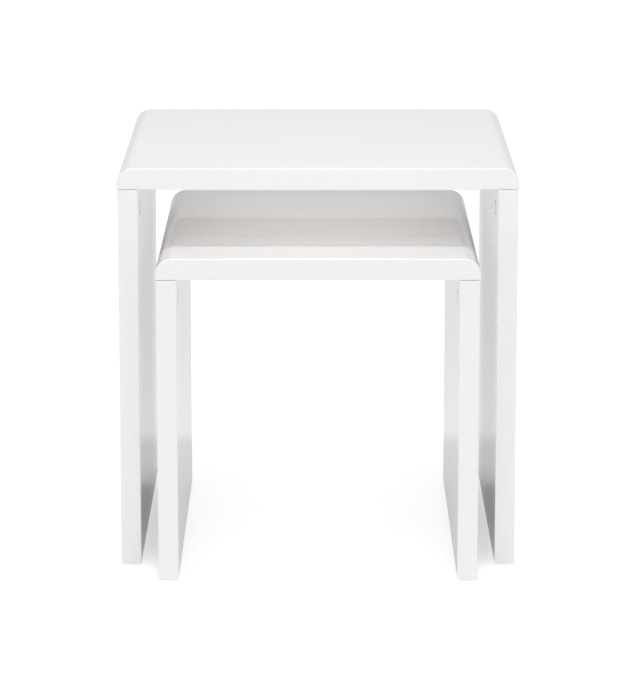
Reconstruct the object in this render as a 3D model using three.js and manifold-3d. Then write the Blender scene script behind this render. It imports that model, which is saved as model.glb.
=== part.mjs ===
// A nest of two side tables. Each is a top on two full-depth leg panels with a rail at the back,
// and the small one slides out from under the large one. Millimetres, +Z up, +X to the right,
// front towards -Y. The origin is on the floor, in the middle of the nest with the small table
// a little forward.
import * as THREE from "three";
import { mergeVertices } from "three/addons/utils/BufferGeometryUtils.js";
import Module from "manifold-3d";

// ---- Driving dimensions ------------------------------------------------------------------------

const LARGE_WIDTH = 500;
const LARGE_HEIGHT = 511; // floor to upper face, on its glides
const TABLE_DEPTH = 500; // both tables, so that they nest flush front and back
const NEST_SIDE_GAP = 24; // small top to large leg, on each side
const NEST_HEAD_GAP = 73; // small top to the underside of the large one
const PULL_OUT = 74; // how far the small table stands ahead of the large one

const TOP_THICKNESS = 27;
const LEG_THICKNESS = 25;
const RAIL_SIZE = 25; // square rail between the legs, flush with the back of the top
const TOP_END_RADIUS = 20; // roll-over along both ends of a top
const TOP_OVERHANG = 1; // top past the outer face of each leg
const EDGE_RADIUS = 1.2; // softened long edges
const EDGE_CHAMFER = 0.9; // softened front and back edges

const CAM_INSET = 70; // cam fittings, from the front and back edges
const DOWEL_INSET = 110; // dowels, from the same edges
const GLIDE_INSET = 30; // glides, from the same edges

const CAM_RADIUS = 7.35;
const CAM_BACKSET = 34; // cam axis below the joint
const CAM_WALL = 1.75; // round the pocket for the bolt's head
const CAM_FLOOR = 1.9; // under the same pocket
const CAM_SET_BACK = 0.5; // cam below the leg's inner face
const DRIVER_LENGTH = 7; // cross slot for the screwdriver
const DRIVER_WIDTH = 1.8;
const DRIVER_DEPTH = 3.4;

const BOLT_HEAD_RADIUS = 3.2;
const BOLT_HEAD_LENGTH = 3.4;
const BOLT_NECK_RADIUS = 1.9;
const BOLT_SHANK_RADIUS = 3;
const THREAD_RADIUS = 2.9;
const THREAD_LENGTH = 11;
const THREAD_DEPTH = 0.6;
const THREAD_TURNS = 3;

const COVER_LAP = 1.25; // self-adhesive cover past the edge of the cam's bore
const COVER_THICKNESS = 0.5;

const DOWEL_RADIUS = 4;
const DOWEL_IN_TOP = 12;
const DOWEL_IN_LEG = 22;
const DOWEL_FLUTES = 8;
const FLUTE_DEPTH = 0.4;
const DOWEL_CHAMFER = 1;

const GLIDE_RADIUS = 9;
const GLIDE_THICKNESS = 3;
const GLIDE_ROUNDING = 1;
const NAIL_HEAD_RADIUS = 3.6;
const NAIL_HEAD_THICKNESS = 0.8;
const NAIL_SET_BACK = 0.4; // nail's head above the floor
const NAIL_RADIUS = 1.2;
const NAIL_IN_LEG = 14;

const BORE_FIT = 0.4; // radial, for whatever goes into a bore or a slot
const END_FIT = 0.5; // at the blind end of a bore
const SEAT_FIT = 0.3; // where one piece sits on another

// ---- Sizes that follow from them ---------------------------------------------------------------

const large = { name: "large", width: LARGE_WIDTH, height: LARGE_HEIGHT, y: PULL_OUT / 2 };
const small = {
  name: "small",
  width: LARGE_WIDTH - 2 * (TOP_OVERHANG + LEG_THICKNESS + NEST_SIDE_GAP),
  height: LARGE_HEIGHT - TOP_THICKNESS - NEST_HEAD_GAP,
  y: -PULL_OUT / 2,
};

const halfLeg = LEG_THICKNESS / 2;
const pocketRadius = CAM_RADIUS - CAM_WALL;
const pocketHalfHeight = BOLT_HEAD_RADIUS + BORE_FIT;
const camBelowBolt = pocketHalfHeight + CAM_FLOOR; // the cam's blind end from the bolt's axis
const camHeight = camBelowBolt + halfLeg - CAM_SET_BACK;
const boltHeadReach = Math.sqrt(pocketRadius ** 2 - BOLT_HEAD_RADIUS ** 2) - BORE_FIT;
const coverRadius = CAM_RADIUS + BORE_FIT + COVER_LAP;
const nailRecess = NAIL_SET_BACK + NAIL_HEAD_THICKNESS + SEAT_FIT;

const SIDES = { left: -1, right: 1 };
const ENDS = { front: -1, rear: 1 };

const ROLL_SEGMENTS = 5; // for half of the roll-over
const LEG_SEGMENTS = 1;
const CAM_SEGMENTS = 16;
const BORE_SEGMENTS = 12;
const BOLT_SEGMENTS = 8;

// ---- Materials ---------------------------------------------------------------------------------

const finish = (color, roughness, metalness) =>
  new THREE.MeshStandardMaterial({ color, roughness, metalness });

const lacquer = finish(0xf3f2f2, 0.08, 0);
const beech = finish(0xd8b384, 0.7, 0);
const zinc = finish(0xb4b6b8, 0.42, 1);
const steel = finish(0xc3c4c6, 0.3, 1);
const coverFoil = finish(0xf0efee, 0.35, 0);
const glidePlastic = finish(0xdad9d5, 0.5, 0);

// ---- Solids ------------------------------------------------------------------------------------

const wasm = await Module();
wasm.setup();
const MERGE_DISTANCE = 1e-4;

// A closed geometry as a solid that can be cut and joined.
function solid(geometry) {
  const bare = geometry.clone();
  bare.deleteAttribute("normal");
  bare.deleteAttribute("uv");
  const merged = mergeVertices(bare, MERGE_DISTANCE);
  const mesh = new wasm.Mesh({
    numProp: 3,
    vertProperties: merged.attributes.position.array,
    triVerts: new Uint32Array(merged.index.array),
  });
  return new wasm.Manifold(mesh);
}

// A solid as a geometry with flat faces.
function geometryOf(shape) {
  const { numProp, vertProperties, triVerts } = shape.getMesh();
  const corners = new Float32Array(triVerts.length * 3);
  triVerts.forEach((vertex, i) => {
    const start = vertex * numProp;
    corners.set(vertProperties.subarray(start, start + 3), i * 3);
  });
  const geometry = new THREE.BufferGeometry();
  geometry.setAttribute("position", new THREE.BufferAttribute(corners, 3));
  geometry.computeVertexNormals();
  return geometry;
}

const cut = (body, tools) =>
  geometryOf(tools.reduce((rest, tool) => rest.subtract(solid(tool)), solid(body)));

// A round bar from one point to another.
function bar(radius, from, to, segments = BORE_SEGMENTS) {
  const start = new THREE.Vector3(...from);
  const run = new THREE.Vector3(...to).sub(start);
  const geometry = new THREE.CylinderGeometry(radius, radius, run.length(), segments);
  geometry.translate(0, run.length() / 2, 0);
  const turn = new THREE.Quaternion();
  turn.setFromUnitVectors(new THREE.Vector3(0, 1, 0), run.normalize());
  return geometry.applyQuaternion(turn).translate(start.x, start.y, start.z);
}

// [radius, height] points turned about Z.
function turned(profile, segments) {
  const points = profile.map(([radius, height]) => new THREE.Vector2(radius, height));
  return new THREE.LatheGeometry(points, segments).rotateX(Math.PI / 2);
}

// A box centred on X and Y, between two heights.
const block = (x, y, low, high) =>
  new THREE.BoxGeometry(x, y, high - low).translate(0, 0, (low + high) / 2);

// A panel seen from the front, with one radius for its lower corners and one for its upper.
function section(halfWidth, low, high, lowRadius, highRadius) {
  const shape = new THREE.Shape();
  const lowX = halfWidth - lowRadius;
  const highX = halfWidth - highRadius;
  shape.moveTo(-lowX, low);
  shape.absarc(lowX, low + lowRadius, lowRadius, -Math.PI / 2, 0);
  shape.absarc(highX, high - highRadius, highRadius, 0, Math.PI / 2);
  shape.absarc(-highX, high - highRadius, highRadius, Math.PI / 2, Math.PI);
  shape.absarc(-lowX, low + lowRadius, lowRadius, Math.PI, (3 * Math.PI) / 2);
  return shape;
}

// The same panel at its full length along Y, centred on it.
function panel(outline, length, chamfer, curveSegments) {
  const geometry = new THREE.ExtrudeGeometry(outline, {
    depth: length - 2 * chamfer,
    bevelEnabled: chamfer > 0,
    bevelThickness: chamfer,
    bevelSize: chamfer,
    bevelOffset: -chamfer,
    bevelSegments: 1,
    curveSegments,
  });
  return geometry.rotateX(Math.PI / 2).translate(0, length / 2 - chamfer, 0);
}

// Where something stands that is set in from the front and back edges.
const bothEnds = (inset) => Object.values(ENDS).map((sign) => sign * (TABLE_DEPTH / 2 - inset));

const legCentre = (width) => width / 2 - TOP_OVERHANG - halfLeg;
const railY = TABLE_DEPTH / 2 - RAIL_SIZE / 2;
const railAxis = -RAIL_SIZE / 2; // its dowels, below the joint under the top

// ---- Pieces, each in its own frame -------------------------------------------------------------

// Z is 0 at the underside, which is drilled for the bolts and dowels.
function topPanel(width) {
  const roll = Math.min(TOP_END_RADIUS, TOP_THICKNESS - 2 * EDGE_RADIUS);
  const outline = section(width / 2, 0, TOP_THICKNESS, EDGE_RADIUS, roll);
  const body = panel(outline, TABLE_DEPTH, EDGE_CHAMFER, ROLL_SEGMENTS);
  const bores = [];
  const drill = (radius, depth, x, y) => {
    const start = [x, y, -END_FIT];
    bores.push(bar(radius + BORE_FIT, start, [x, y, depth + END_FIT]));
  };
  for (const sign of Object.values(SIDES)) {
    const x = sign * legCentre(width);
    bothEnds(CAM_INSET).forEach((y) => drill(THREAD_RADIUS, THREAD_LENGTH, x, y));
    bothEnds(DOWEL_INSET).forEach((y) => drill(DOWEL_RADIUS, DOWEL_IN_TOP, x, y));
  }
  return cut(body, bores);
}

// Z is 0 at the joint under the top, +X is the inside of the table, and its back is towards
// +Y or -Y. The inner face is drilled for the rail's dowel.
function legPanel(height, back) {
  const outline = section(halfLeg, -height, 0, EDGE_RADIUS, EDGE_RADIUS);
  const body = panel(outline, TABLE_DEPTH, EDGE_CHAMFER, LEG_SEGMENTS);
  const railStart = [halfLeg + END_FIT, back * railY, railAxis];
  const railEnd = [halfLeg - DOWEL_IN_TOP - END_FIT, back * railY, railAxis];
  const bores = [bar(DOWEL_RADIUS + BORE_FIT, railStart, railEnd)];
  for (const y of bothEnds(CAM_INSET)) {
    const centre = [0, y, -CAM_BACKSET];
    const blind = [-camBelowBolt - END_FIT, y, -CAM_BACKSET];
    const face = [halfLeg + END_FIT, y, -CAM_BACKSET];
    bores.push(bar(CAM_RADIUS + BORE_FIT, blind, face, CAM_SEGMENTS));
    bores.push(bar(BOLT_SHANK_RADIUS + BORE_FIT, centre, [0, y, END_FIT]));
  }
  for (const y of bothEnds(DOWEL_INSET)) {
    const blind = [0, y, -DOWEL_IN_LEG - END_FIT];
    bores.push(bar(DOWEL_RADIUS + BORE_FIT, blind, [0, y, END_FIT]));
  }
  for (const y of bothEnds(GLIDE_INSET)) {
    const blind = [0, y, NAIL_IN_LEG + END_FIT - height];
    bores.push(bar(NAIL_RADIUS + BORE_FIT, [0, y, -height - END_FIT], blind, BOLT_SEGMENTS));
  }
  return cut(body, bores);
}

// Lies along X with Z 0 at its upper face, and is drilled for a dowel at each end.
function backRail(length) {
  const outline = section(RAIL_SIZE / 2, -RAIL_SIZE, 0, EDGE_RADIUS, EDGE_RADIUS);
  const body = panel(outline, length, 0, LEG_SEGMENTS).rotateZ(Math.PI / 2);
  const bores = Object.values(SIDES).map((sign) => {
    const end = [sign * (length / 2 + END_FIT), 0, railAxis];
    const blind = [sign * (length / 2 - DOWEL_IN_LEG - END_FIT), 0, railAxis];
    return bar(DOWEL_RADIUS + BORE_FIT, end, blind);
  });
  return cut(body, bores);
}

// Turned about Z, with the bolt's axis at Z 0 and the bolt towards +Y.
function camLock() {
  const top = camHeight - camBelowBolt;
  const body = turned(
    [
      [0, -camBelowBolt],
      [CAM_RADIUS, -camBelowBolt],
      [CAM_RADIUS, top],
      [0, top],
    ],
    CAM_SEGMENTS,
  );
  const pocket = bar(pocketRadius, [0, 0, -pocketHalfHeight], [0, 0, pocketHalfHeight]);
  // The bolt's head goes in through the mouth, and the slot lets the cam turn round its neck.
  const mouth = bar(BOLT_HEAD_RADIUS + BORE_FIT, [0, 0, 0], [0, -2 * CAM_RADIUS, 0]);
  const neckReach = BOLT_NECK_RADIUS + BORE_FIT;
  const slotEnd = Math.PI / 2 + Math.asin(neckReach / boltHeadReach);
  const sector = new THREE.Shape();
  sector.absarc(0, 0, CAM_RADIUS + END_FIT, -Math.PI / 2, slotEnd);
  sector.lineTo(0, 0);
  const slot = new THREE.ExtrudeGeometry(sector, {
    depth: 2 * neckReach,
    bevelEnabled: false,
    curveSegments: BORE_SEGMENTS / 2,
  });
  slot.translate(0, 0, -neckReach);
  const arm = block(DRIVER_LENGTH, DRIVER_WIDTH, top - DRIVER_DEPTH, top + END_FIT);
  const crossArm = arm.clone().rotateZ(Math.PI / 2);
  return cut(body, [pocket, mouth, slot, arm, crossArm]);
}

// Z is 0 at the leg's inner face, which its glued side lies on.
function camCover() {
  const profile = [
    [0, 0],
    [coverRadius, 0],
    [coverRadius, COVER_THICKNESS],
    [0, COVER_THICKNESS],
  ];
  return turned(profile, CAM_SEGMENTS);
}

// Z is 0 at the joint: the thread above it is in the top, and the head below it in the cam.
function camBolt() {
  const headTop = boltHeadReach - CAM_BACKSET;
  const headEnd = headTop - BOLT_HEAD_LENGTH;
  const shoulder = CAM_RADIUS + BORE_FIT + END_FIT - CAM_BACKSET;
  const profile = [
    [0, headEnd],
    [BOLT_NECK_RADIUS, headEnd],
    [BOLT_HEAD_RADIUS, headEnd + BOLT_HEAD_LENGTH / 3],
    [BOLT_HEAD_RADIUS, headTop - BOLT_HEAD_LENGTH / 3],
    [BOLT_NECK_RADIUS, headTop],
    [BOLT_NECK_RADIUS, shoulder],
    [BOLT_SHANK_RADIUS, shoulder],
    [BOLT_SHANK_RADIUS, 0],
  ];
  const pitch = THREAD_LENGTH / (THREAD_TURNS + 1);
  for (let turn = 0; turn < THREAD_TURNS; turn++) {
    profile.push([THREAD_RADIUS - THREAD_DEPTH, (turn + 0.5) * pitch]);
    profile.push([THREAD_RADIUS, (turn + 1) * pitch]);
  }
  profile.push([THREAD_RADIUS - 2 * THREAD_DEPTH, THREAD_LENGTH], [0, THREAD_LENGTH]);
  return turned(profile, BOLT_SEGMENTS);
}

// Z is 0 at the joint. The flutes let the glue out.
function dowel() {
  const outline = new THREE.Shape();
  for (let corner = 0; corner < 2 * DOWEL_FLUTES; corner++) {
    const angle = (corner * Math.PI) / DOWEL_FLUTES;
    const radius = DOWEL_RADIUS - (corner % 2) * FLUTE_DEPTH;
    outline[corner ? "lineTo" : "moveTo"](radius * Math.cos(angle), radius * Math.sin(angle));
  }
  const geometry = new THREE.ExtrudeGeometry(outline, {
    depth: DOWEL_IN_TOP + DOWEL_IN_LEG - 2 * DOWEL_CHAMFER,
    bevelThickness: DOWEL_CHAMFER,
    bevelSize: DOWEL_CHAMFER / 2,
    bevelOffset: -DOWEL_CHAMFER / 2,
    bevelSegments: 1,
  });
  return geometry.translate(0, 0, DOWEL_CHAMFER - DOWEL_IN_LEG);
}

// Z is 0 on the floor, and the nail's head is in the recess underneath.
function glide() {
  const hole = NAIL_RADIUS + BORE_FIT;
  const recess = NAIL_HEAD_RADIUS + BORE_FIT;
  const profile = [
    [hole, GLIDE_THICKNESS],
    [hole, nailRecess],
    [recess, nailRecess],
    [recess, 0],
    [GLIDE_RADIUS - GLIDE_ROUNDING, 0],
    [GLIDE_RADIUS, GLIDE_ROUNDING],
    [GLIDE_RADIUS, GLIDE_THICKNESS],
    [hole, GLIDE_THICKNESS],
  ];
  return turned(profile, BORE_SEGMENTS);
}

// Z is 0 on the floor.
function glideNail() {
  const headTop = NAIL_SET_BACK + NAIL_HEAD_THICKNESS;
  const tip = GLIDE_THICKNESS + SEAT_FIT + NAIL_IN_LEG;
  const profile = [
    [0, NAIL_SET_BACK],
    [NAIL_HEAD_RADIUS, NAIL_SET_BACK],
    [NAIL_HEAD_RADIUS, headTop],
    [NAIL_RADIUS, headTop],
    [NAIL_RADIUS, tip - 3 * NAIL_RADIUS],
    [0, tip],
  ];
  return turned(profile, BOLT_SEGMENTS);
}

// ---- Assembly ----------------------------------------------------------------------------------

const fittings = {
  camLock: camLock(),
  camCover: camCover(),
  camBolt: camBolt(),
  dowel: dowel(),
  glide: glide(),
  glideNail: glideNail(),
};

function piece(name, geometry, material, x, y, z) {
  const mesh = new THREE.Mesh(geometry, material);
  mesh.name = name;
  mesh.position.set(x, y, z);
  return mesh;
}

// A third of a turn about the diagonal takes a fitting's Z to the leg's X, and its Y to Z.
const diagonal = new THREE.Vector3(1, 1, 1).normalize();
const intoLeg = new THREE.Quaternion().setFromAxisAngle(diagonal, (2 * Math.PI) / 3);

// A leg and all that it holds, with its joint at Z 0 and its inner face towards +X. The right
// leg is the left one turned round, so that its front end is at +Y until it is turned.
function legWithFittings(tableName, side, legHeight) {
  const leg = new THREE.Group();
  const floor = -legHeight - SEAT_FIT - GLIDE_THICKNESS;
  const back = -SIDES[side];
  const name = `${tableName}_${side}`;
  leg.add(piece(`${name}_leg`, legPanel(legHeight, back), lacquer, 0, 0, 0));
  const railDowel = piece(
    `${name}_rail_dowel`,
    fittings.dowel,
    beech,
    halfLeg,
    back * railY,
    railAxis,
  );
  railDowel.rotation.y = -Math.PI / 2;
  leg.add(railDowel);
  for (const [end, sign] of Object.entries(ENDS)) {
    const label = `${name}_${end}`;
    const from = (inset) => back * sign * (TABLE_DEPTH / 2 - inset);
    const camY = from(CAM_INSET);
    const camZ = -CAM_BACKSET;
    const faceX = halfLeg + SEAT_FIT;
    const cam = piece(`${label}_cam_lock`, fittings.camLock, zinc, 0, camY, camZ);
    const cover = piece(`${label}_cam_cover`, fittings.camCover, coverFoil, faceX, camY, camZ);
    for (const mesh of [cam, cover]) mesh.quaternion.copy(intoLeg);
    leg.add(
      cam,
      cover,
      piece(`${label}_cam_bolt`, fittings.camBolt, steel, 0, camY, 0),
      piece(`${label}_dowel`, fittings.dowel, beech, 0, from(DOWEL_INSET), 0),
      piece(`${label}_glide`, fittings.glide, glidePlastic, 0, from(GLIDE_INSET), floor),
      piece(`${label}_glide_nail`, fittings.glideNail, steel, 0, from(GLIDE_INSET), floor),
    );
  }
  return leg;
}

function table({ name, width, height, y }) {
  const group = new THREE.Group();
  group.position.y = y;
  const underside = height - TOP_THICKNESS;
  const railLength = 2 * (legCentre(width) - halfLeg - SEAT_FIT);
  group.add(
    piece(`${name}_top`, topPanel(width), lacquer, 0, 0, underside),
    piece(`${name}_rail`, backRail(railLength), lacquer, 0, railY, underside - SEAT_FIT),
  );
  const legHeight = underside - GLIDE_THICKNESS - 2 * SEAT_FIT;
  for (const [side, sign] of Object.entries(SIDES)) {
    const leg = legWithFittings(name, side, legHeight);
    leg.position.set(sign * legCentre(width), 0, underside - SEAT_FIT);
    leg.rotation.z = sign > 0 ? Math.PI : 0;
    group.add(leg);
  }
  return group;
}

const nest = new THREE.Group();
nest.add(table(large), table(small));

export default nest;
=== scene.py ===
"""The looks of a nest of two high-gloss side tables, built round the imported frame.

Each table is a top on two leg panels with a rail at the back, held by cam fittings and dowels
and standing on nail-on glides. The boards and the turned fittings are made here as finished
meshes in the places that the frame gives, and the die-cast cams are the frame's own. Everything
is in metres.
"""

import math

import bpy
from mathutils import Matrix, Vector


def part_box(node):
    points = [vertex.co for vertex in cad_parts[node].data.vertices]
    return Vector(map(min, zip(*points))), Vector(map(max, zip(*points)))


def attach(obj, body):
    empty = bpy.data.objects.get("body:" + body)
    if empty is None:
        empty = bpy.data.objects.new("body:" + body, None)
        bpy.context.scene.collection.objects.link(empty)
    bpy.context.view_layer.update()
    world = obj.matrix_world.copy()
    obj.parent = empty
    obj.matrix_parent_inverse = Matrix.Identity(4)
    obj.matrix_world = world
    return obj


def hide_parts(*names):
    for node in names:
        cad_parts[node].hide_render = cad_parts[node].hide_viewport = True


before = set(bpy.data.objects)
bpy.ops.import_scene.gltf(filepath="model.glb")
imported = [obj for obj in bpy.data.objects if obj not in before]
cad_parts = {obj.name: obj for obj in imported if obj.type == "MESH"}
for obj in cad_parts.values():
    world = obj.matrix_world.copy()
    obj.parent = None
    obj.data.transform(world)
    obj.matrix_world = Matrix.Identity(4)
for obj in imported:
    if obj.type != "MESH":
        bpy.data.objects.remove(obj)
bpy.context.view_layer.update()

# ---- Sizes --------------------------------------------------------------------------------------

MM = 0.001
TABLES = ("large", "small")
SIDES = ("left", "right")
ENDS = ("front", "rear")

ROLLED_RADIUS = 20 * MM  # along both ends of a top
TOP_EASING = 1.6 * MM  # the round along a top's front and back
TOP_ARRIS_RADIUS = 1.8 * MM  # a top's lower edges along its ends
ARRIS_RADIUS = 1.2 * MM  # every other long edge
ARRIS_EASING = 0.9 * MM  # the same edges where they meet a front or a back
BUTT_RADIUS = 0.7 * MM  # the ends of a rail, which butt on the legs
BUTT_EASING = 0.6 * MM  # a rail's long edges
ROLL_STEPS = 28
ARRIS_STEPS = 5
EASING_STEPS = 5
ROLLED_FROM = 5 * MM  # a corner with a larger radius than this gets the finer steps
END_SHARE = 0.499  # of a board's depth, out from its middle, where its front and back edges start

BORE_FIT = 0.4 * MM  # radial, round whatever is in a bore
END_FIT = 0.5 * MM  # at the blind end of a bore
BREAK_OUT = 4 * MM  # how far a drill runs past the face that it enters
BORE_STEPS = 48  # round a hole

BOLT_HEAD_LENGTH = 3.4 * MM
BOLT_NECK_RADIUS = 1.9 * MM
BOLT_NECK_END = 7.45 * MM  # from the head's end
BOLT_SHANK_RADIUS = 3 * MM
THREAD_RADIUS = 2.9 * MM
THREAD_LENGTH = 11 * MM
THREAD_DEPTH = 0.6 * MM
THREAD_PITCH = 2.75 * MM
THREAD_INSET = 0.1 * MM  # left plain at each end
THREAD_STEPS = 40  # along it
BOLT_STEPS = 24  # round it

DOWEL_RADIUS = 4 * MM
DOWEL_FLUTES = 16
FLUTE_DEPTH = 0.35 * MM
DOWEL_CHAMFER = 1 * MM
DOWEL_STEPS = 2 * DOWEL_FLUTES  # one on each flute's floor and one on each ridge

COVER_ROUNDING = 0.1 * MM
COVER_GLUE = 0.28 * MM  # down to the leg that it is stuck on
COVER_PRESSED = 0.35 * MM  # pressed flatter than its node
COVER_STEPS = 64

GLIDE_ROUNDING = 1 * MM
GLIDE_HOLE = 1.6 * MM
GLIDE_RECESS_RADIUS = 4 * MM
GLIDE_RECESS_DEPTH = 1.5 * MM
GLIDE_STEPS = 48

NAIL_HEAD_THICKNESS = 0.8 * MM
NAIL_HEAD_DOME = 0.3 * MM
NAIL_HEAD_FALL = 0.1 * MM  # as much of the dome as falls away halfway out
NAIL_RADIUS = 1.2 * MM
NAIL_TIP = 3.6 * MM
NAIL_STEPS = 20

DRILLED_CREASE = math.radians(50)  # an edge that turns by more stays sharp
TURNED_CREASE = math.radians(35)
SAME_PLACE = 0.001 * MM  # corners closer than this are one

# ---- Colours and nodes --------------------------------------------------------------------------


def srgb(code):
    """A colour written as sRGB hex, such as "F2F1F0", turned to linear RGBA."""
    channels = [int(code[i : i + 2], 16) / 255 for i in (0, 2, 4)]
    linear = [c / 12.92 if c <= 0.04045 else ((c + 0.055) / 1.055) ** 2.4 for c in channels]
    return (*linear, 1.0)


# A Mix node's colour sockets, by number, because they share their names with its other ones.
COLOUR_A = 6
COLOUR_B = 7
MIXED_COLOUR = 2


def put(tree, kind, sockets=None, **settings):
    """Adds a node. Each of its sockets gets a value, or a link if it is given an output."""
    node = tree.nodes.new(kind)
    for name, value in settings.items():
        setattr(node, name, value)
    for name, value in (sockets or {}).items():
        if isinstance(value, bpy.types.NodeSocket):
            tree.links.new(value, node.inputs[name])
        else:
            node.inputs[name].default_value = value
    return node


# ---- Camera, light and floor --------------------------------------------------------------------

CAMERA_EYE = Vector((-0.0024, -4.513, 1.2217))
CAMERA_TARGET = Vector((0.0002, 0.0, 0.234))
SENSOR_WIDTH = 36.0  # mm, on the frame's long side
FOCAL_LENGTH = 180.7  # mm


def add_camera():
    data = bpy.data.cameras.new("camera")
    data.sensor_width = SENSOR_WIDTH
    data.lens = FOCAL_LENGTH
    camera = bpy.data.objects.new("camera", data)
    camera.location = CAMERA_EYE
    aim = CAMERA_TARGET - CAMERA_EYE
    camera.rotation_euler = aim.to_track_quat("-Z", "Y").to_euler()
    bpy.context.scene.collection.objects.link(camera)
    bpy.context.scene.camera = camera


WORLD_STRENGTH = 0.655


def add_world():
    """An even white studio."""
    world = bpy.data.worlds.new("studio")
    world.use_nodes = True
    bpy.context.scene.world = world
    tree = world.node_tree
    background = tree.nodes["Background"]
    background.inputs["Color"].default_value = srgb("FFFFFF")
    background.inputs["Strength"].default_value = WORLD_STRENGTH


# Name, size, watts, place, what it is aimed at, and whether gloss mirrors it.
SOFTBOXES = [
    ("key", (0.35, 0.35), 15.5, (0.0, -0.4, 2.4), (0.0, 0.0, 0.4), True),
    ("front", (2.0, 1.2), 29.0, (0.0, -4.0, 2.2), (0.0, 0.0, 0.3), True),
    # A weak panel right under the large top, which lightens the gap between the tables.
    ("gap", (0.4, 0.42), 0.16, (0.0, 0.0, 0.481), (0.0, 0.0, 0.3), False),
]


def add_softbox(name, size, power, place, target, is_mirrored):
    data = bpy.data.lights.new(name, "AREA")
    data.shape = "RECTANGLE"
    data.size, data.size_y = size
    data.energy = power
    light = bpy.data.objects.new(name, data)
    light.visible_glossy = is_mirrored
    light.visible_camera = False
    light.location = place
    light.rotation_euler = (Vector(target) - Vector(place)).to_track_quat("-Z", "Y").to_euler()
    bpy.context.scene.collection.objects.link(light)


FLOOR_SIZE = 60.0
FLOOR_GLOW = 0.175
FLOOR_OVEREXPOSED = 0.34  # more to the camera, which is exposed for a pure white ground


def add_floor():
    half = FLOOR_SIZE / 2
    mesh = bpy.data.meshes.new("floor")
    corners = [(-half, -half, 0), (half, -half, 0), (half, half, 0), (-half, half, 0)]
    mesh.from_pydata(corners, [], [(0, 1, 2, 3)])
    floor = bpy.data.objects.new("floor", mesh)
    bpy.context.scene.collection.objects.link(floor)
    material = bpy.data.materials.new("studio_floor")
    material.use_nodes = True
    tree = material.node_tree
    shader = tree.nodes["Principled BSDF"]
    shader.inputs["Base Color"].default_value = srgb("E8E8E8")
    shader.inputs["Roughness"].default_value = 0.9
    shader.inputs["Specular IOR Level"].default_value = 0.0
    shader.inputs["Emission Color"].default_value = srgb("FFFFFF")
    is_seen = put(tree, "ShaderNodeLightPath").outputs["Is Camera Ray"]
    glow = put(
        tree,
        "ShaderNodeMath",
        {0: is_seen, 1: FLOOR_OVEREXPOSED, 2: FLOOR_GLOW},
        operation="MULTIPLY_ADD",
    )
    tree.links.new(glow.outputs[0], shader.inputs["Emission Strength"])
    mesh.materials.append(material)


add_camera()
add_world()
for softbox in SOFTBOXES:
    add_softbox(*softbox)
add_floor()
bpy.context.scene.view_settings.view_transform = "Standard"

# ---- Materials ----------------------------------------------------------------------------------


def new_material(name, roughness, **sockets):
    """A material with its shader's even values set. Returns it, its tree and its shader."""
    material = bpy.data.materials.new(name)
    material.use_nodes = True
    shader = material.node_tree.nodes["Principled BSDF"]
    shader.inputs["Roughness"].default_value = roughness
    for socket, value in sockets.items():
        shader.inputs[socket.replace("_", " ")].default_value = value
    return material, material.node_tree, shader


# Where most of a noise's values lie, which a range is spread from.
MIDDLE = {"From Min": 0.3, "From Max": 0.7}


def high_gloss_lacquer():
    """White polyurethane lacquer, sprayed on MDF, sanded and buffed to a mirror. Its reflections
    are clear but for a trace of orange peel and of buffing haze, over a white that is all but
    even."""
    material, tree, shader = new_material("high_gloss_lacquered_mdf", 0.05, IOR=1.5)
    place = put(tree, "ShaderNodeTexCoord").outputs["Object"]

    # Coats of slightly uneven thickness, 150 mm across, warm where they are thick.
    coats = put(tree, "ShaderNodeTexNoise", {"Vector": place, "Scale": 1 / (150 * MM)})
    thickness = put(tree, "ShaderNodeMapRange", {"Value": coats.outputs["Fac"], **MIDDLE})
    colour = put(
        tree,
        "ShaderNodeMix",
        {"Factor": thickness.outputs[0], COLOUR_A: srgb("F6F5F4"), COLOUR_B: srgb("F8F6F5")},
        data_type="RGBA",
    )
    tree.links.new(colour.outputs[MIXED_COLOUR], shader.inputs["Base Color"])

    # Buffing leaves soft haze, drawn out along the boards' depth.
    strokes = put(tree, "ShaderNodeMapping", {"Vector": place, "Scale": (1.0, 0.25, 1.0)})
    haze = put(
        tree,
        "ShaderNodeTexNoise",
        {"Vector": strokes.outputs[0], "Scale": 1 / (12 * MM), "Detail": 3.0},
    )
    dullness = put(
        tree,
        "ShaderNodeMapRange",
        {"Value": haze.outputs["Fac"], **MIDDLE, "To Min": 0.035, "To Max": 0.06},
    )
    tree.links.new(dullness.outputs[0], shader.inputs["Roughness"])

    # Orange peel: waves 3 mm long, under half a micron high, which just stir a reflection.
    peel = put(tree, "ShaderNodeTexNoise", {"Vector": place, "Scale": 1 / (3 * MM), "Detail": 1.0})
    relief = put(
        tree,
        "ShaderNodeBump",
        {"Height": peel.outputs["Fac"], "Distance": 0.0008 * MM, "Strength": 1.0},
    )
    tree.links.new(relief.outputs[0], shader.inputs["Normal"])
    return material


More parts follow.
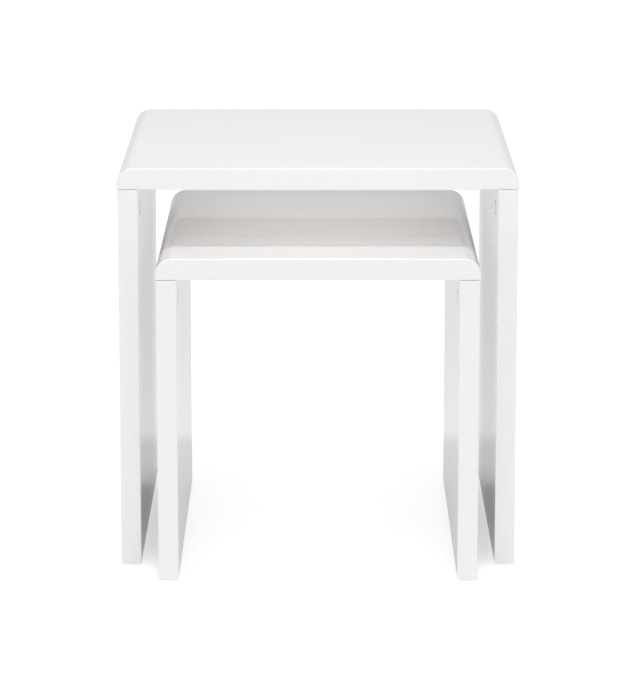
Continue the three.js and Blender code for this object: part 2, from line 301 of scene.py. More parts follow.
def raw_mdf():
    """Medium-density fibreboard where a drill has cut it: pale brown, with short matted fibres,
    and quite dull."""
    material, tree, shader = new_material("drilled_raw_mdf", 0.85, IOR=1.45)
    place = put(tree, "ShaderNodeTexCoord").outputs["Object"]
    fibres = put(
        tree,
        "ShaderNodeTexNoise",
        {"Vector": place, "Scale": 1 / (0.5 * MM), "Detail": 4.0, "Roughness": 0.7},
    ).outputs["Fac"]
    mat = put(tree, "ShaderNodeMapRange", {"Value": fibres, **MIDDLE})
    colour = put(
        tree,
        "ShaderNodeMix",
        {"Factor": mat.outputs[0], COLOUR_A: srgb("A9845C"), COLOUR_B: srgb("CBAA82")},
        data_type="RGBA",
    )
    dullness = put(
        tree, "ShaderNodeMapRange", {"Value": fibres, **MIDDLE, "To Min": 0.9, "To Max": 0.75}
    )
    relief = put(
        tree, "ShaderNodeBump", {"Height": fibres, "Distance": 0.08 * MM, "Strength": 1.0}
    )
    tree.links.new(colour.outputs[MIXED_COLOUR], shader.inputs["Base Color"])
    tree.links.new(dullness.outputs[0], shader.inputs["Roughness"])
    tree.links.new(relief.outputs[0], shader.inputs["Normal"])
    return material


def die_cast_zinc():
    """Zinc alloy straight from the die: grey, with frosted grain and shiny flow marks."""
    material, tree, shader = new_material("die_cast_zinc_alloy", 0.4, Metallic=1.0)
    place = put(tree, "ShaderNodeTexCoord").outputs["Object"]
    flow = put(
        tree, "ShaderNodeTexNoise", {"Vector": place, "Scale": 1 / (4 * MM), "Detail": 3.0}
    ).outputs["Fac"]
    marks = put(tree, "ShaderNodeMapRange", {"Value": flow, **MIDDLE})
    colour = put(
        tree,
        "ShaderNodeMix",
        {"Factor": marks.outputs[0], COLOUR_A: srgb("ABADB0"), COLOUR_B: srgb("C2C3C5")},
        data_type="RGBA",
    )
    dullness = put(
        tree, "ShaderNodeMapRange", {"Value": flow, **MIDDLE, "To Min": 0.3, "To Max": 0.48}
    )
    grain = put(
        tree, "ShaderNodeTexNoise", {"Vector": place, "Scale": 1 / (0.3 * MM), "Detail": 3.0}
    )
    relief = put(
        tree,
        "ShaderNodeBump",
        {"Height": grain.outputs["Fac"], "Distance": 0.012 * MM, "Strength": 1.0},
    )
    tree.links.new(colour.outputs[MIXED_COLOUR], shader.inputs["Base Color"])
    tree.links.new(dullness.outputs[0], shader.inputs["Roughness"])
    tree.links.new(relief.outputs[0], shader.inputs["Normal"])
    return material


def zinc_plated_steel():
    """Turned steel with bright zinc on it: cool, with a faint yellow and blue bloom from the
    passivation, and fine lines round it from the lathe."""
    material, tree, shader = new_material("bright_zinc_plated_steel", 0.28, Metallic=1.0)
    place = put(tree, "ShaderNodeTexCoord").outputs["Object"]
    clouds = put(tree, "ShaderNodeTexNoise", {"Vector": place, "Scale": 1 / (3 * MM)})
    bloom = put(tree, "ShaderNodeMapRange", {"Value": clouds.outputs["Fac"], **MIDDLE})
    colour = put(
        tree,
        "ShaderNodeMix",
        {"Factor": bloom.outputs[0], COLOUR_A: srgb("C3C7CE"), COLOUR_B: srgb("D2CEC0")},
        data_type="RGBA",
    )
    across = put(tree, "ShaderNodeMapping", {"Vector": place, "Scale": (0.05, 0.05, 1.0)})
    lines = put(
        tree, "ShaderNodeTexNoise", {"Vector": across.outputs[0], "Scale": 1 / (0.15 * MM)}
    ).outputs["Fac"]
    dullness = put(
        tree, "ShaderNodeMapRange", {"Value": lines, **MIDDLE, "To Min": 0.2, "To Max": 0.34}
    )
    relief = put(
        tree, "ShaderNodeBump", {"Height": lines, "Distance": 0.004 * MM, "Strength": 1.0}
    )
    tree.links.new(colour.outputs[MIXED_COLOUR], shader.inputs["Base Color"])
    tree.links.new(dullness.outputs[0], shader.inputs["Roughness"])
    tree.links.new(relief.outputs[0], shader.inputs["Normal"])
    return material


def bare_beech(name, grain):
    """Milled beech, unfinished: pale pinkish brown and dull, with darker growth rings and short
    ray flecks along the grain, which is drawn out by this scale."""
    material, tree, shader = new_material(name, 0.65, IOR=1.45)
    place = put(tree, "ShaderNodeTexCoord").outputs["Object"]
    along = put(tree, "ShaderNodeMapping", {"Vector": place, "Scale": grain}).outputs[0]
    growth = put(
        tree, "ShaderNodeTexNoise", {"Vector": along, "Scale": 1 / (1.6 * MM), "Detail": 3.0}
    )
    rings = put(tree, "ShaderNodeMapRange", {"Value": growth.outputs["Fac"], **MIDDLE})
    wood = put(
        tree,
        "ShaderNodeMix",
        {"Factor": rings.outputs[0], COLOUR_A: srgb("C99F6E"), COLOUR_B: srgb("E0BE92")},
        data_type="RGBA",
    )
    rays = put(
        tree, "ShaderNodeTexNoise", {"Vector": along, "Scale": 1 / (0.35 * MM)}
    ).outputs["Fac"]
    flecks = put(tree, "ShaderNodeMapRange", {"Value": rays, "From Min": 0.6, "From Max": 0.7})
    colour = put(
        tree,
        "ShaderNodeMix",
        {
            "Factor": flecks.outputs[0],
            COLOUR_A: wood.outputs[MIXED_COLOUR],
            COLOUR_B: srgb("A87848"),
        },
        data_type="RGBA",
    )
    dullness = put(
        tree, "ShaderNodeMapRange", {"Value": rays, **MIDDLE, "To Min": 0.58, "To Max": 0.74}
    )
    relief = put(tree, "ShaderNodeBump", {"Height": rays, "Distance": 0.03 * MM, "Strength": 1.0})
    tree.links.new(colour.outputs[MIXED_COLOUR], shader.inputs["Base Color"])
    tree.links.new(dullness.outputs[0], shader.inputs["Roughness"])
    tree.links.new(relief.outputs[0], shader.inputs["Normal"])
    return material


def white_foil():
    """Self-adhesive PVC foil matched to the lacquer: nearly as glossy, with a faint emboss."""
    material, tree, shader = new_material("white_pvc_cover_foil", 0.05, IOR=1.5)
    place = put(tree, "ShaderNodeTexCoord").outputs["Object"]
    clouds = put(tree, "ShaderNodeTexNoise", {"Vector": place, "Scale": 1 / (6 * MM)})
    cloudiness = put(tree, "ShaderNodeMapRange", {"Value": clouds.outputs["Fac"], **MIDDLE})
    colour = put(
        tree,
        "ShaderNodeMix",
        {"Factor": cloudiness.outputs[0], COLOUR_A: srgb("F6F5F4"), COLOUR_B: srgb("F8F6F5")},
        data_type="RGBA",
    )
    emboss = put(
        tree, "ShaderNodeTexNoise", {"Vector": place, "Scale": 1 / (0.4 * MM)}
    ).outputs["Fac"]
    dullness = put(
        tree, "ShaderNodeMapRange", {"Value": emboss, **MIDDLE, "To Min": 0.04, "To Max": 0.06}
    )
    relief = put(
        tree, "ShaderNodeBump", {"Height": emboss, "Distance": 0.0005 * MM, "Strength": 1.0}
    )
    tree.links.new(colour.outputs[MIXED_COLOUR], shader.inputs["Base Color"])
    tree.links.new(dullness.outputs[0], shader.inputs["Roughness"])
    tree.links.new(relief.outputs[0], shader.inputs["Normal"])
    return material


def moulded_polyethylene():
    """Off-white polyethylene, a little waxy and cloudy, scuffed to matt by the floor."""
    material, tree, shader = new_material("moulded_polyethylene", 0.45, IOR=1.52)
    place = put(tree, "ShaderNodeTexCoord").outputs["Object"]
    clouds = put(tree, "ShaderNodeTexNoise", {"Vector": place, "Scale": 1 / (5 * MM)})
    cloudiness = put(tree, "ShaderNodeMapRange", {"Value": clouds.outputs["Fac"], **MIDDLE})
    colour = put(
        tree,
        "ShaderNodeMix",
        {"Factor": cloudiness.outputs[0], COLOUR_A: srgb("DAD9D3"), COLOUR_B: srgb("E4E2DC")},
        data_type="RGBA",
    )
    scuffs = put(
        tree,
        "ShaderNodeTexNoise",
        {"Vector": place, "Scale": 1 / (0.6 * MM), "Detail": 4.0, "Roughness": 0.7},
    ).outputs["Fac"]
    dullness = put(
        tree, "ShaderNodeMapRange", {"Value": scuffs, **MIDDLE, "To Min": 0.38, "To Max": 0.6}
    )
    relief = put(
        tree, "ShaderNodeBump", {"Height": scuffs, "Distance": 0.02 * MM, "Strength": 1.0}
    )
    tree.links.new(colour.outputs[MIXED_COLOUR], shader.inputs["Base Color"])
    tree.links.new(dullness.outputs[0], shader.inputs["Roughness"])
    tree.links.new(relief.outputs[0], shader.inputs["Normal"])
    shader.inputs["Subsurface Weight"].default_value = 0.15
    shader.inputs["Subsurface Radius"].default_value = (1 * MM, 1 * MM, 1 * MM)
    return material


lacquer = high_gloss_lacquer()
bare_mdf = raw_mdf()
zinc = die_cast_zinc()
steel = zinc_plated_steel()
upright_beech = bare_beech("upright_beech_dowel", (1.0, 1.0, 0.06))
lying_beech = bare_beech("lying_beech_dowel", (0.06, 1.0, 1.0))
foil = white_foil()
polyethylene = moulded_polyethylene()


# ---- Making pieces ------------------------------------------------------------------------------


def new_tree(name, inputs):
    """An empty tree with a geometry in and out and these other inputs. Returns it and what it is
    given."""
    tree = bpy.data.node_groups.new(name, "GeometryNodeTree")
    tree.interface.new_socket("Geometry", in_out="INPUT", socket_type="NodeSocketGeometry")
    for label, kind in inputs.items():
        tree.interface.new_socket(label, in_out="INPUT", socket_type=f"NodeSocket{kind}")
    tree.interface.new_socket("Geometry", in_out="OUTPUT", socket_type="NodeSocketGeometry")
    return tree, put(tree, "NodeGroupInput").outputs


def new_piece(name, mesh=None):
    piece = bpy.data.objects.new(name, mesh or bpy.data.meshes.new(name))
    bpy.context.scene.collection.objects.link(piece)
    return piece


def add_tree(piece, tree, values):
    """Runs a tree on a piece. Each input is set by its identifier."""
    modifier = piece.modifiers.new(tree.name, "NODES")
    modifier.node_group = tree
    identifiers = {item.name: item.identifier for item in tree.interface.items_tree}
    for label, value in values.items():
        modifier[identifiers[label]] = value


def make_plain(piece):
    """Turns what a piece's modifiers give into its plain mesh."""
    bpy.context.view_layer.update()
    graph = bpy.context.evaluated_depsgraph_get()
    mesh = bpy.data.meshes.new_from_object(piece.evaluated_get(graph))
    piece.modifiers.clear()
    started_from = piece.data
    piece.data = mesh
    bpy.data.meshes.remove(started_from)
    mesh.name = piece.name


def smooth_but_for_sharp(tree, geometry, sharpest):
    """Shades smooth, apart from the edges that turn by more than this angle. Returns the output."""
    angle = put(tree, "GeometryNodeInputMeshEdgeAngle").outputs["Unsigned Angle"]
    is_sharp = put(tree, "FunctionNodeCompare", {0: angle, 1: sharpest}, operation="GREATER_THAN")
    smooth = put(tree, "GeometryNodeSetShadeSmooth", {"Geometry": geometry, "Shade Smooth": True})
    creased = put(
        tree,
        "GeometryNodeSetShadeSmooth",
        {"Geometry": smooth.outputs[0], "Selection": is_sharp.outputs[0], "Shade Smooth": False},
        domain="EDGE",
    )
    return creased.outputs[0]


# ---- Boards -------------------------------------------------------------------------------------


def board_tree():
    """A board: its section, seen from the front, run back from the middle of its front face. Its
    front and back edges are weighted for the round that a Bevel then gives them."""
    tree, given = new_tree(
        "board",
        {
            "Front": "Vector",
            "Width": "Float",
            "Height": "Float",
            "Depth": "Float",
            "Upper Radius": "Float",
            "Lower Radius": "Float",
            "Finish": "Material",
        },
    )
    place = put(tree, "GeometryNodeInputPosition").outputs[0]
    across = put(tree, "ShaderNodeSeparateXYZ", {0: place})

    # The run turns the section over, so its upper corners are drawn below the middle.
    section = put(
        tree,
        "GeometryNodeCurvePrimitiveQuadrilateral",
        {"Width": given["Width"], "Height": given["Height"]},
    )
    is_upper = put(tree, "FunctionNodeCompare", {0: across.outputs["Y"]}, operation="LESS_THAN")
    radius = put(
        tree,
        "GeometryNodeSwitch",
        {
            "Switch": is_upper.outputs[0],
            "False": given["Lower Radius"],
            "True": given["Upper Radius"],
        },
        input_type="FLOAT",
    )
    is_rolled = put(
        tree,
        "FunctionNodeCompare",
        {0: radius.outputs[0], 1: ROLLED_FROM},
        operation="GREATER_THAN",
    )
    steps = put(
        tree,
        "GeometryNodeSwitch",
        {"Switch": is_rolled.outputs[0], "False": ARRIS_STEPS, "True": ROLL_STEPS},
        input_type="INT",
    )
    rounded = put(
        tree,
        "GeometryNodeFilletCurve",
        {"Curve": section.outputs[0], "Count": steps.outputs[0], "Radius": radius.outputs[0]},
        mode="POLY",
    )

    run = put(
        tree,
        "GeometryNodeCurvePrimitiveLine",
        {"Start": given["Front"], "Direction": (0, 1, 0), "Length": given["Depth"]},
        mode="DIRECTION",
    )
    board = put(
        tree,
        "GeometryNodeCurveToMesh",
        {"Curve": run.outputs[0], "Profile Curve": rounded.outputs[0], "Fill Caps": True},
    )

    # An edge is a front or back one when its middle is at either end of the run, which is half
    # the depth from the board's own middle.
    from_front = put(
        tree, "ShaderNodeVectorMath", {0: place, 1: given["Front"]}, operation="SUBTRACT"
    )
    inside = put(tree, "ShaderNodeSeparateXYZ", {0: from_front.outputs[0]})
    along = put(
        tree,
        "ShaderNodeMath",
        {0: inside.outputs["Y"], 1: given["Depth"]},
        operation="DIVIDE",
    )
    from_middle = put(tree, "ShaderNodeMath", {0: along.outputs[0], 1: 0.5}, operation="SUBTRACT")
    distance = put(tree, "ShaderNodeMath", {0: from_middle.outputs[0]}, operation="ABSOLUTE")
    is_end = put(
        tree,
        "FunctionNodeCompare",
        {0: distance.outputs[0], 1: END_SHARE},
        operation="GREATER_THAN",
    )
    weighted = put(
        tree,
        "GeometryNodeStoreNamedAttribute",
        {
            "Geometry": board.outputs[0],
            "Selection": is_end.outputs[0],
            "Name": "bevel_weight_edge",
            "Value": 1.0,
        },
        data_type="FLOAT",
        domain="EDGE",
    )
    single = put(tree, "GeometryNodeRealizeInstances", {0: weighted.outputs[0]})
    finished = put(
        tree,
        "GeometryNodeSetMaterial",
        {"Geometry": single.outputs[0], "Material": given["Finish"]},
    )
    put(tree, "NodeGroupOutput", {0: finished.outputs[0]})
    return tree


def drill_tree():
    """Drills holes in rows along X and Y, which leave bare board on their walls."""
    tree, given = new_tree(
        "drill",
        {
            "Middle": "Vector",
            "Rows": "Int",
            "Holes": "Int",
            "Row Spacing": "Float",
            "Hole Spacing": "Float",
            "Radius": "Float",
            "Length": "Float",
            "Turn": "Vector",
            "Bare Board": "Material",
        },
    )
    rows = put(
        tree,
        "GeometryNodeMeshGrid",
        {
            "Size X": given["Row Spacing"],
            "Size Y": given["Hole Spacing"],
            "Vertices X": given["Rows"],
            "Vertices Y": given["Holes"],
        },
    )
    placed = put(
        tree, "GeometryNodeTransform", {"Geometry": rows.outputs[0], "Translation": given["Middle"]}
    )
    bit = put(
        tree,
        "GeometryNodeMeshCylinder",
        {"Vertices": BORE_STEPS, "Radius": given["Radius"], "Depth": given["Length"]},
    )
    coated = put(
        tree,
        "GeometryNodeSetMaterial",
        {"Geometry": bit.outputs[0], "Material": given["Bare Board"]},
    )
    bits = put(
        tree,
        "GeometryNodeInstanceOnPoints",
        {"Points": placed.outputs[0], "Instance": coated.outputs[0], "Rotation": given["Turn"]},
    )
    single = put(tree, "GeometryNodeRealizeInstances", {0: bits.outputs[0]})
    drilled = put(
        tree,
        "GeometryNodeMeshBoolean",
        {"Mesh 1": given["Geometry"], "Mesh 2": single.outputs[0]},
        operation="DIFFERENCE",
        solver="EXACT",
    )
    shaded = smooth_but_for_sharp(tree, drilled.outputs[0], DRILLED_CREASE)
    put(tree, "NodeGroupOutput", {0: shaded})
    return tree


board = board_tree()
drill = drill_tree()


def middle(node):
    low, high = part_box(node)
    return (low + high) / 2


def add_holes(piece, nodes, rows, radius, low, high, lying=False):
    """Drills for fittings of one kind, set out in rows, between two heights, or between two Xs if
    they lie down. The nodes are those of the first and the last."""
    first, last = middle(nodes[0]), middle(nodes[-1])
    centre = (first + last) / 2
    if lying:
        centre.x = (low + high) / 2
    else:
        centre.z = (low + high) / 2
    add_tree(
        piece,
        drill,
        {
            "Middle": centre,
            "Rows": rows,
            "Holes": 1 if last.y == first.y else 2,
            "Row Spacing": last.x - first.x,
            "Hole Spacing": last.y - first.y,
            "Radius": radius + BORE_FIT,
            "Length": high - low,
            "Turn": (0, math.pi / 2 if lying else 0, 0),
            "Bare Board": bare_mdf,
        },
    )


def start_board(node, upper_radius, lower_radius, easing):
    """A board in the place of a node, with its front and back edges eased."""
    low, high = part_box(node)
    size = high - low
    piece = new_piece(f"{node}_board")
    add_tree(
        piece,
        board,
        {
            "Front": ((low.x + high.x) / 2, low.y, (low.z + high.z) / 2),
            "Width": size.x,
            "Height": size.z,
            "Depth": size.y,
            "Upper Radius": upper_radius,
            "Lower Radius": lower_radius,
            "Finish": lacquer,
        },
    )
    bevel = piece.modifiers.new("easing", "BEVEL")
    bevel.limit_method = "WEIGHT"
    bevel.width = easing
    bevel.segments = EASING_STEPS
    bevel.use_clamp_overlap = False
    return piece


def finish_board(piece, table, node):
    """Keeps a board's wide faces optically flat, and puts it in place of its node."""
    flat = piece.modifiers.new("flat_faces", "WEIGHTED_NORMAL")
    flat.keep_sharp = True
    flat.weight = 100
    make_plain(piece)
    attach(piece, f"{table}_table")
    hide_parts(node)


def make_top(table):
    node = f"{table}_top"
    low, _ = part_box(node)
    piece = start_board(node, ROLLED_RADIUS, TOP_ARRIS_RADIUS, TOP_EASING)
    for fitting, radius in (("cam_bolt", THREAD_RADIUS), ("dowel", DOWEL_RADIUS)):
        first = f"{table}_left_front_{fitting}"
        last = f"{table}_right_rear_{fitting}"
        _, fitting_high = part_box(first)
        end = fitting_high.z + END_FIT
        add_holes(piece, (first, last), 2, radius, low.z - BREAK_OUT, end)
    finish_board(piece, table, node)


def make_rail(table):
    node = f"{table}_rail"
    low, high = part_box(node)
    piece = start_board(node, BUTT_RADIUS, BUTT_RADIUS, BUTT_EASING)
    left, right = f"{table}_left_rail_dowel", f"{table}_right_rail_dowel"
    _, left_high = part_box(left)
    right_low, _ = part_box(right)
    left_ends = (low.x - BREAK_OUT, left_high.x + END_FIT)
    right_ends = (right_low.x - END_FIT, high.x + BREAK_OUT)
    add_holes(piece, (left,), 1, DOWEL_RADIUS, *left_ends, lying=True)
    add_holes(piece, (right,), 1, DOWEL_RADIUS, *right_ends, lying=True)
    finish_board(piece, table, node)


def make_leg(table, side):
    node = f"{table}_{side}_leg"
    low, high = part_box(node)
    label = f"{table}_{side}"
    cam_low, cam_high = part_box(f"{label}_front_cam_lock")
    rail_dowel_low, rail_dowel_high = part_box(f"{label}_rail_dowel")
    dowel_low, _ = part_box(f"{label}_front_dowel")
    _, nail_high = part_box(f"{label}_front_glide_nail")
    piece = start_board(node, ARRIS_RADIUS, ARRIS_RADIUS, ARRIS_EASING)

    cam_axis = (cam_low.z + cam_high.z) / 2
    cam_radius = (cam_high.z - cam_low.z) / 2
    if side == "left":
        cam_ends = (cam_low.x - END_FIT, high.x + BREAK_OUT)
        rail_ends = (rail_dowel_low.x - END_FIT, high.x + BREAK_OUT)
    else:
        cam_ends = (low.x - BREAK_OUT, cam_high.x + END_FIT)
        rail_ends = (low.x - BREAK_OUT, rail_dowel_high.x + END_FIT)
    above = high.z + BREAK_OUT
    below = low.z - BREAK_OUT
    cams, bolts, dowels, nails = (
        [f"{label}_{end}_{fitting}" for end in ENDS]
        for fitting in ("cam_lock", "cam_bolt", "dowel", "glide_nail")
    )
    add_holes(piece, cams, 1, cam_radius, *cam_ends, lying=True)
    add_holes(piece, (f"{label}_rail_dowel",), 1, DOWEL_RADIUS, *rail_ends, lying=True)
    add_holes(piece, bolts, 1, BOLT_SHANK_RADIUS, cam_axis, above)
    add_holes(piece, dowels, 1, DOWEL_RADIUS, dowel_low.z - END_FIT, above)
    add_holes(piece, nails, 1, NAIL_RADIUS, below, nail_high.z + END_FIT)
    finish_board(piece, table, node)


# ---- Turned fittings ----------------------------------------------------------------------------

LATHE_CORE = 1 * MM  # a half-section is drawn from here, and turned about it


def fitting_tree():
    """Turns a half-section, which is the piece's own mesh in X and Z, cuts grooves in it, and sets
    out two or four, with the left ones and the right ones turned by angles of their own."""
    tree, given = new_tree(
        "turned_fitting",
        {
            "Steps Round": "Int",
            "Per Side": "Int",
            "Groove Depth": "Float",
            "Grooves Round": "Float",
            "Grooves Per Metre": "Float",
            "Grooved From": "Float",
            "Grooved To": "Float",
            "Middle": "Vector",
            "Row Spacing": "Float",
            "Fitting Spacing": "Float",
            "Left Turn": "Vector",
            "Right Turn": "Vector",
            "Finish": "Material",
        },
    )
    # The lathe is a small circle, which the half-section goes round on its outside.
    laid = put(
        tree,
        "GeometryNodeTransform",
        {
            "Geometry": given["Geometry"],
            "Translation": (-LATHE_CORE, 0, 0),
            "Rotation": (math.pi / 2, 0, 0),
        },
    )
    outline = put(tree, "GeometryNodeMeshToCurve", {"Mesh": laid.outputs[0]})
    lathe = put(
        tree,
        "GeometryNodeCurvePrimitiveCircle",
        {"Resolution": given["Steps Round"], "Radius": LATHE_CORE},
    )
    skin = put(
        tree,
        "GeometryNodeCurveToMesh",
        {"Curve": lathe.outputs[0], "Profile Curve": outline.outputs[0]},
    )
    closed = put(
        tree, "GeometryNodeMergeByDistance", {"Geometry": skin.outputs[0], "Distance": SAME_PLACE}
    )

    # Grooves: a triangle wave that climbs for a thread, or stands upright for flutes.
    place = put(tree, "GeometryNodeInputPosition").outputs[0]
    part = put(tree, "ShaderNodeSeparateXYZ", {0: place})
    angle = put(
        tree, "ShaderNodeMath", {0: part.outputs["Y"], 1: part.outputs["X"]}, operation="ARCTAN2"
    )
    turns = put(tree, "ShaderNodeMath", {0: angle.outputs[0], 1: math.tau}, operation="DIVIDE")
    round_about = put(
        tree,
        "ShaderNodeMath",
        {0: turns.outputs[0], 1: given["Grooves Round"]},
        operation="MULTIPLY",
    )
    wave = put(
        tree,
        "ShaderNodeMath",
        {0: part.outputs["Z"], 1: given["Grooves Per Metre"], 2: round_about.outputs[0]},
        operation="MULTIPLY_ADD",
    )
    triangle = put(tree, "ShaderNodeMath", {0: wave.outputs[0], 1: 0.5}, operation="PINGPONG")
    above = put(
        tree,
        "FunctionNodeCompare",
        {0: part.outputs["Z"], 1: given["Grooved From"]},
        operation="GREATER_THAN",
    )
    below = put(
        tree,
        "FunctionNodeCompare",
        {0: part.outputs["Z"], 1: given["Grooved To"]},
        operation="LESS_THAN",
    )
    is_grooved = put(
        tree, "FunctionNodeBooleanMath", {0: above.outputs[0], 1: below.outputs[0]}, operation="AND"
    )
    depth = put(
        tree,
        "ShaderNodeMath",
        {0: triangle.outputs[0], 1: given["Groove Depth"]},
        operation="MULTIPLY",
    )
    # The wave only reaches a half, so a groove is twice as deep, and it goes inwards.
    inwards = put(tree, "ShaderNodeMath", {0: depth.outputs[0], 1: -2.0}, operation="MULTIPLY")
    level = put(
        tree, "ShaderNodeCombineXYZ", {"X": part.outputs["X"], "Y": part.outputs["Y"]}
    )
    outwards = put(tree, "ShaderNodeVectorMath", {0: level.outputs[0]}, operation="NORMALIZE")
    offset = put(
        tree,
        "ShaderNodeVectorMath",
        {0: outwards.outputs[0], "Scale": inwards.outputs[0]},
        operation="SCALE",
    )
    grooved = put(
        tree,
        "GeometryNodeSetPosition",
        {
            "Geometry": closed.outputs[0],
            "Selection": is_grooved.outputs[0],
            "Offset": offset.outputs[0],
        },
    )
    shaded = smooth_but_for_sharp(tree, grooved.outputs[0], TURNED_CREASE)

    corners = put(
        tree,
        "GeometryNodeMeshGrid",
        {
            "Size X": given["Row Spacing"],
            "Size Y": given["Fitting Spacing"],
            "Vertices X": 2,
            "Vertices Y": given["Per Side"],
        },
    )
    is_right = put(
        tree, "FunctionNodeCompare", {0: part.outputs["X"]}, operation="GREATER_THAN"
    )
    turn = put(
        tree,
        "GeometryNodeSwitch",
        {"Switch": is_right.outputs[0], "False": given["Left Turn"], "True": given["Right Turn"]},
        input_type="VECTOR",
    )
    set_out = put(
        tree,
        "GeometryNodeInstanceOnPoints",
        {"Points": corners.outputs[0], "Instance": shaded, "Rotation": turn.outputs[0]},
    )
    placed = put(
        tree,
        "GeometryNodeTransform",
        {"Geometry": set_out.outputs[0], "Translation": given["Middle"]},
    )
    single = put(tree, "GeometryNodeRealizeInstances", {0: placed.outputs[0]})
    finished = put(
        tree,
        "GeometryNodeSetMaterial",
        {"Geometry": single.outputs[0], "Material": given["Finish"]},
    )
    put(tree, "NodeGroupOutput", {0: finished.outputs[0]})
    return tree


turned_fitting = fitting_tree()


def quarter(centre, radius, start, steps=5):
    """Points round a quarter circle, clockwise from an angle in degrees."""
    x, z = centre
    angles = [math.radians(start - 90 * step / steps) for step in range(steps + 1)]
    return [(x + radius * math.cos(a), z + radius * math.sin(a)) for a in angles]


def bolt_profile(radius, length):
    """From the top of the thread down to the head's end, where the bolt is widest."""
    third = BOLT_HEAD_LENGTH / 3
    joint = length - THREAD_LENGTH
    start = length - THREAD_INSET
    rise = (THREAD_LENGTH - 2 * THREAD_INSET) / THREAD_STEPS
    climb = [start - rise * step for step in range(THREAD_STEPS + 1)]
    return [
        (0, length),
        (THREAD_RADIUS - 2 * THREAD_DEPTH, length),
        *((THREAD_RADIUS, height) for height in climb),
        (BOLT_SHANK_RADIUS, joint),
        (BOLT_SHANK_RADIUS, BOLT_NECK_END),
        (BOLT_NECK_RADIUS, BOLT_NECK_END),
        (BOLT_NECK_RADIUS, BOLT_HEAD_LENGTH),
        (radius, BOLT_HEAD_LENGTH - third),
        (radius, third),
        (BOLT_NECK_RADIUS, 0),
        (0, 0),
    ]


def dowel_profile(radius, length):
    tip = radius - DOWEL_CHAMFER / 2
    return [
        (0, length),
        (tip - FLUTE_DEPTH, length),
        (radius, length - DOWEL_CHAMFER),
        (radius, DOWEL_CHAMFER),
        (tip - FLUTE_DEPTH, 0),
        (0, 0),
    ]


def cover_profile(radius, thickness):
    face_height = thickness - COVER_PRESSED
    rim = (radius - COVER_ROUNDING, face_height - COVER_ROUNDING)
    face = [(0, face_height), *quarter(rim, COVER_ROUNDING, 90)]
    return [*face, (radius, -COVER_GLUE), (0, -COVER_GLUE)]


def glide_profile(radius, thickness):
    """A ring, so its half-section closes on itself."""
    rim = (radius - GLIDE_ROUNDING, GLIDE_ROUNDING)
    return [
        (GLIDE_HOLE, thickness),
        (radius, thickness),
        *quarter(rim, GLIDE_ROUNDING, 0),
        (GLIDE_RECESS_RADIUS, 0),
        (GLIDE_RECESS_RADIUS, GLIDE_RECESS_DEPTH),
        (GLIDE_HOLE, GLIDE_RECESS_DEPTH),
        (GLIDE_HOLE, thickness),
    ]


def nail_profile(radius, length):
    return [
        (0, length),
        (NAIL_RADIUS, length - NAIL_TIP),
        (NAIL_RADIUS, NAIL_HEAD_THICKNESS),
        (radius, NAIL_HEAD_THICKNESS),
        (radius, NAIL_HEAD_DOME),
        (radius / 2, NAIL_HEAD_FALL),
        (0, 0),
    ]


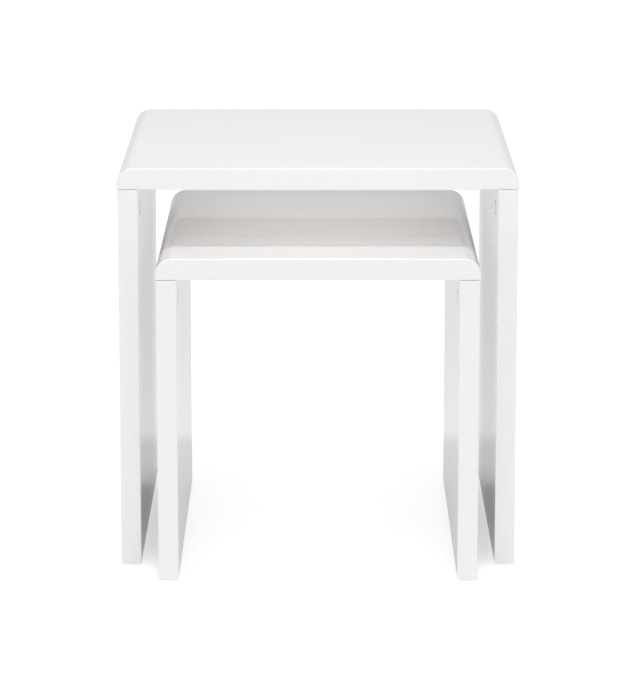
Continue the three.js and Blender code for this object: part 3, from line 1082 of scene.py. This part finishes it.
def make_fittings(table, nodes, profile, finish, steps, grooves=None, lying=False):
    """One mesh for a table's fittings of a kind, in place of their nodes, which run from the left
    front one to the right rear one."""
    first_low, first_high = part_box(nodes[0])
    last_low, last_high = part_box(nodes[-1])
    first = (first_low + first_high) / 2
    last = (last_low + last_high) / 2
    size = first_high - first_low
    left_turn = right_turn = (0, 0, 0)
    if lying:
        radius, length = size.z / 2, size.x
        first.x = first_low.x
        last.x = last_high.x
        left_turn = (0, math.pi / 2, 0)
        right_turn = (0, -math.pi / 2, 0)
    else:
        radius, length = size.x / 2, size.z
        first.z = last.z = first_low.z
    points = [(across, 0, height) for across, height in profile(radius, length)]
    edges = [(i, i + 1) for i in range(len(points) - 1)]
    label = nodes[0].removeprefix(f"{table}_left_").removeprefix("front_")
    mesh = bpy.data.meshes.new(label)
    mesh.from_pydata(points, edges, [])
    piece = new_piece(f"{table}_{label}s", mesh)
    add_tree(
        piece,
        turned_fitting,
        {
            "Steps Round": steps,
            "Per Side": len(nodes) // 2,
            "Middle": (first + last) / 2,
            "Row Spacing": last.x - first.x,
            "Fitting Spacing": last.y - first.y,
            "Left Turn": left_turn,
            "Right Turn": right_turn,
            "Finish": finish,
            **(grooves or {}),
        },
    )
    make_plain(piece)
    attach(piece, f"{table}_table")
    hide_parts(*nodes)


def at_corners(table, fitting):
    return [f"{table}_{side}_{end}_{fitting}" for side in SIDES for end in ENDS]


def flutes(dowel):
    low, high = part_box(dowel)
    return {
        "Groove Depth": FLUTE_DEPTH,
        "Grooves Round": float(DOWEL_FLUTES),
        "Grooved From": DOWEL_CHAMFER / 2,
        "Grooved To": max(high - low) - DOWEL_CHAMFER / 2,
    }


def thread(bolt):
    low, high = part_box(bolt)
    length = high.z - low.z
    return {
        "Groove Depth": THREAD_DEPTH,
        "Grooves Round": 1.0,
        "Grooves Per Metre": 1 / THREAD_PITCH,
        "Grooved From": length - THREAD_LENGTH + THREAD_INSET / 2,
        "Grooved To": length - THREAD_INSET / 2,
    }


def make_table(table):
    make_top(table)
    make_rail(table)
    for side in SIDES:
        make_leg(table, side)

    bolts = at_corners(table, "cam_bolt")
    dowels = at_corners(table, "dowel")
    rail_dowels = [f"{table}_{side}_rail_dowel" for side in SIDES]
    covers = at_corners(table, "cam_cover")
    glides = at_corners(table, "glide")
    nails = at_corners(table, "glide_nail")
    make_fittings(table, bolts, bolt_profile, steel, BOLT_STEPS, thread(bolts[0]))
    make_fittings(
        table, dowels, dowel_profile, upright_beech, DOWEL_STEPS, flutes(dowels[0])
    )
    make_fittings(
        table,
        rail_dowels,
        dowel_profile,
        lying_beech,
        DOWEL_STEPS,
        flutes(rail_dowels[0]),
        lying=True,
    )
    make_fittings(table, covers, cover_profile, foil, COVER_STEPS, lying=True)
    make_fittings(table, glides, glide_profile, polyethylene, GLIDE_STEPS)
    make_fittings(table, nails, nail_profile, steel, NAIL_STEPS)


for table in TABLES:
    make_table(table)

# The cams stay as the frame has them, in the same zinc.
for name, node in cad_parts.items():
    if name.endswith("_cam_lock"):
        node.data.materials.clear()
        node.data.materials.append(zinc)
